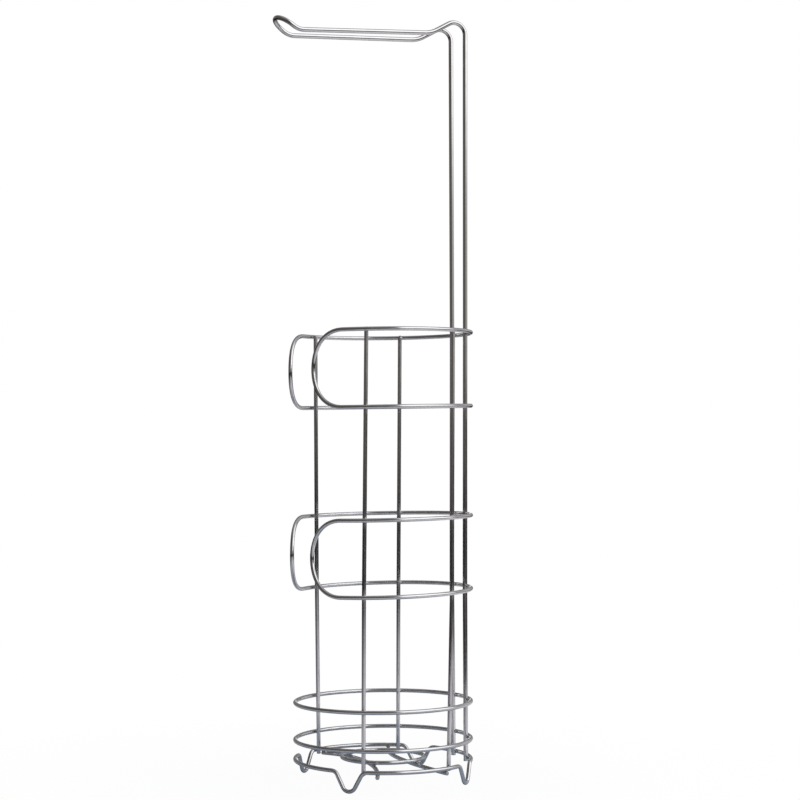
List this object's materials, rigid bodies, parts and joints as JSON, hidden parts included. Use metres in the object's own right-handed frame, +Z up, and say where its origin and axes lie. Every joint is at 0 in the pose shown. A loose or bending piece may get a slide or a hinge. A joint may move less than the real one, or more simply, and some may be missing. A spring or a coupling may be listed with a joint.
{
  "type": "freestanding toilet paper holder",
  "caption": "Freestanding toilet paper holder in chrome-plated steel wire: a round basket for spare rolls on V-shaped feet, and a double post with an arm for the roll in use.",
  "frame": {"origin": "on the floor, under the middle of the whole outline's box; the basket's axis stands 10.5 mm from it along +X", "axes": "+X from the basket's axis to the posts, so the arm's free end points to -X; +Z up; -Y is the front, with the posts on the right"},
  "size_m": [0.1746, 0.1535, 0.649],
  "materials": {
    "hanger_chrome": "bright nickel-chrome plating on drawn steel wire, polished by use along the arm",
    "basket_chrome": "bright nickel-chrome plating on drawn steel wire",
    "foot_chrome": "bright nickel-chrome plating, slightly dulled round the welds and under the feet"
  },
  "bodies": {
    "root": {"hanger_wire": "hanger_chrome", "upper_collar": "basket_chrome", "lower_collar": "basket_chrome", "upper_hoop": "basket_chrome", "lower_hoop": "basket_chrome", "upright_front_left": "basket_chrome", "upright_front_right": "basket_chrome", "upright_back_left": "basket_chrome", "upright_back_right": "basket_chrome", "foot_hoop": "foot_chrome", "floor_arc_left": "foot_chrome", "floor_arc_right": "foot_chrome", "floor_ring": "foot_chrome"}
  },
  "joints": []
}
